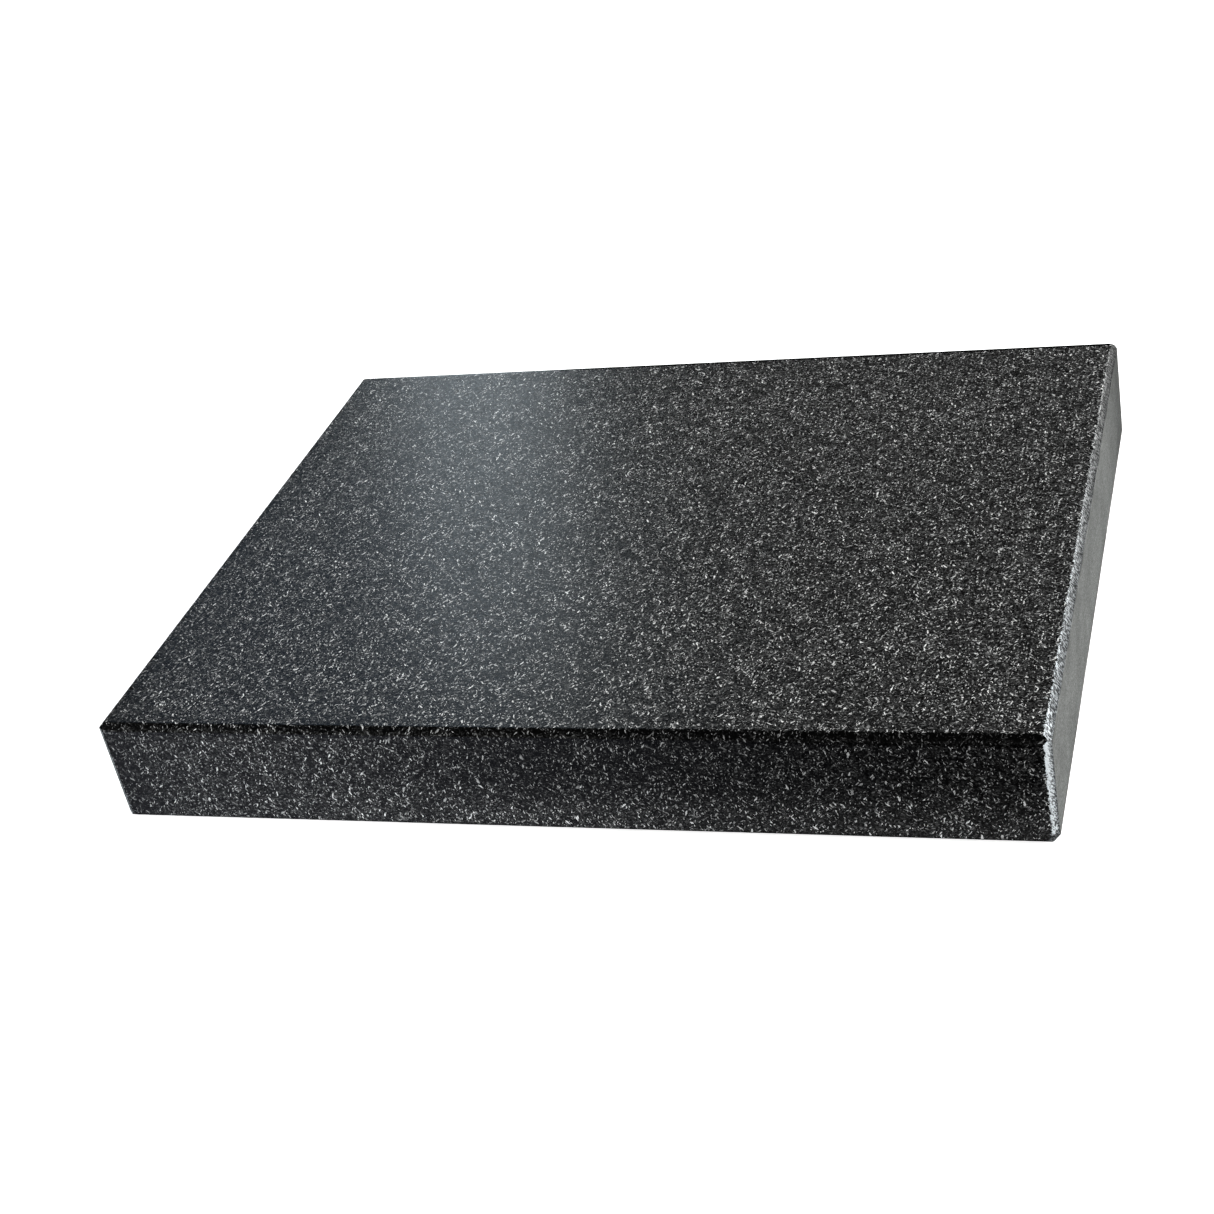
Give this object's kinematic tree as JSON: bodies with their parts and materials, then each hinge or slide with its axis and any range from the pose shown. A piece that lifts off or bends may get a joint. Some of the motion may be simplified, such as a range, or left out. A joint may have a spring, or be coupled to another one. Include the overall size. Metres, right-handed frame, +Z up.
{
  "type": "granite slab",
  "caption": "Rectangular black granite slab with a flat honed top and cut arrises, a hard heavy surface for stamping, carving and punching leather.",
  "frame": {"origin": "middle of the underside, on the surface that the slab lies on", "axes": "+X along the slab's length, +Y across its width, +Z up through the work surface; the honed long edges face -Y and +Y and the sawn ends face -X and +X"},
  "size_m": [0.254, 0.2032, 0.0318],
  "materials": {
    "granite": "honed top and long edges, saw-cut ends and underside"
  },
  "bodies": {
    "root": {"granite_slab": "granite"}
  },
  "joints": []
}
